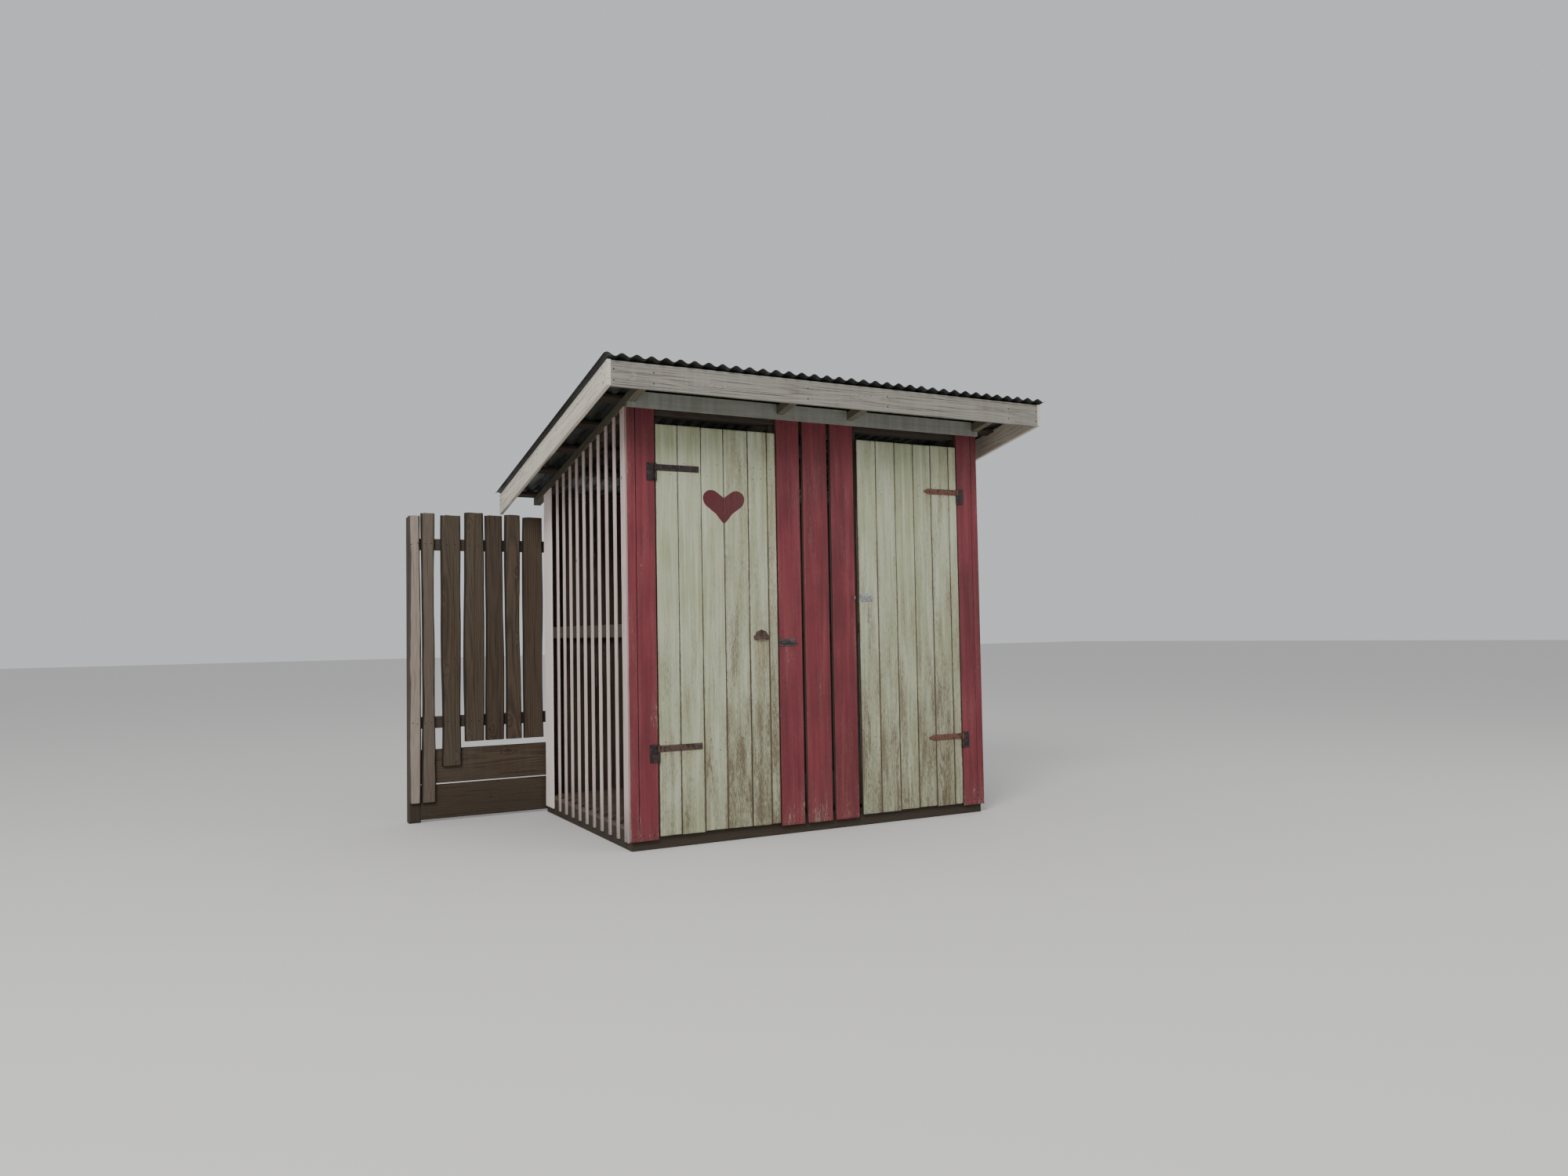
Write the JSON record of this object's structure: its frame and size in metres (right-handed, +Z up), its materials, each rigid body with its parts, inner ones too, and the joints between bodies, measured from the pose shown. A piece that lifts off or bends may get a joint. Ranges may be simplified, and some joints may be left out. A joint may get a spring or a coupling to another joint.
{
  "type": "wooden outhouse",
  "caption": "Plank outhouse with a single-pitch corrugated roof, paired hinged doors, open slatted sides and an upright board screen beside it.",
  "frame": {"origin": "middle of the body's footprint, on the underside of the centre floor joist, which rests on the ground", "axes": "+X along the front to the right, +Y to the back, +Z up"},
  "size_m": [3.3211, 2.1656, 2.4568],
  "materials": {
    "frame_timber": "rough sawn, weathered",
    "floor_timber": "worn planks",
    "eave_timber": "grey weathered board",
    "barge_timber": "bleached weathered board",
    "frieze_timber": "faded olive-grey paint",
    "red_paint": "matt dark red distemper on sawn boards",
    "door_paint": "worn pale grey-green paint on boards",
    "slat_timber": "sun-bleached laths",
    "slab_timber": "brown waney-edged slabs, greyed at the open end",
    "roof_sheet": "dark aged corrugated sheet",
    "dark_iron": "rusted dark iron",
    "rusty_iron": "rust red iron",
    "zinc_steel": "dulled galvanised steel"
  },
  "bodies": {
    "root": {"front_sill": "frame_timber", "back_sill": "frame_timber", "side_sills": "frame_timber", "floor_joist": "frame_timber", "floor_boards": "floor_timber", "corner_posts": "frame_timber", "jamb_posts": "frame_timber", "front_plate": "frame_timber", "back_plate": "frame_timber", "side_rails": "frame_timber", "back_rail": "frame_timber", "rafters": "frame_timber", "roof_battens": "frame_timber", "roof_sheet_left": "roof_sheet", "roof_sheet_middle": "roof_sheet", "roof_sheet_right": "roof_sheet", "fascia": "eave_timber", "left_barge_board": "barge_timber", "right_barge_board": "barge_timber", "frieze": "frieze_timber", "left_corner_boards": "red_paint", "middle_boards": "red_paint", "right_corner_boards": "red_paint", "left_slats": "slat_timber", "right_slats": "slat_timber", "side_end_boards": "slat_timber", "back_boards": "slab_timber", "wing_post": "frame_timber", "wing_rails": "frame_timber", "wing_boards": "slab_timber", "wing_base_boards": "slab_timber", "left_hinge_plates": "dark_iron", "right_hinge_plates": "dark_iron", "bolt_keeper": "zinc_steel", "hasp_staple": "zinc_steel"},
    "left_door": {"left_door_boards": "door_paint", "left_door_ledges": "floor_timber", "left_door_straps": "dark_iron", "left_door_pull": "rusty_iron"},
    "right_door": {"right_door_boards": "door_paint", "right_door_ledges": "floor_timber", "right_door_straps": "rusty_iron", "right_door_hasp": "zinc_steel"},
    "bolt": {"bolt_bar": "zinc_steel"}
  },
  "joints": [
    {"name": "left_door_hinge", "type": "hinge", "parent": "root", "child": "left_door", "pos_m": [-0.9705, -0.7905, 1.2], "axis": [0, 0, -1], "range_deg": [0, 105]},
    {"name": "right_door_hinge", "type": "hinge", "parent": "root", "child": "right_door", "pos_m": [0.9705, -0.7905, 1.2], "axis": [0, 0, 1], "range_deg": [0, 105]},
    {"name": "bolt_slide", "type": "slide", "parent": "root", "child": "bolt", "axis": [-1, 0, 0], "range_m": [0, 0.028]}
  ]
}
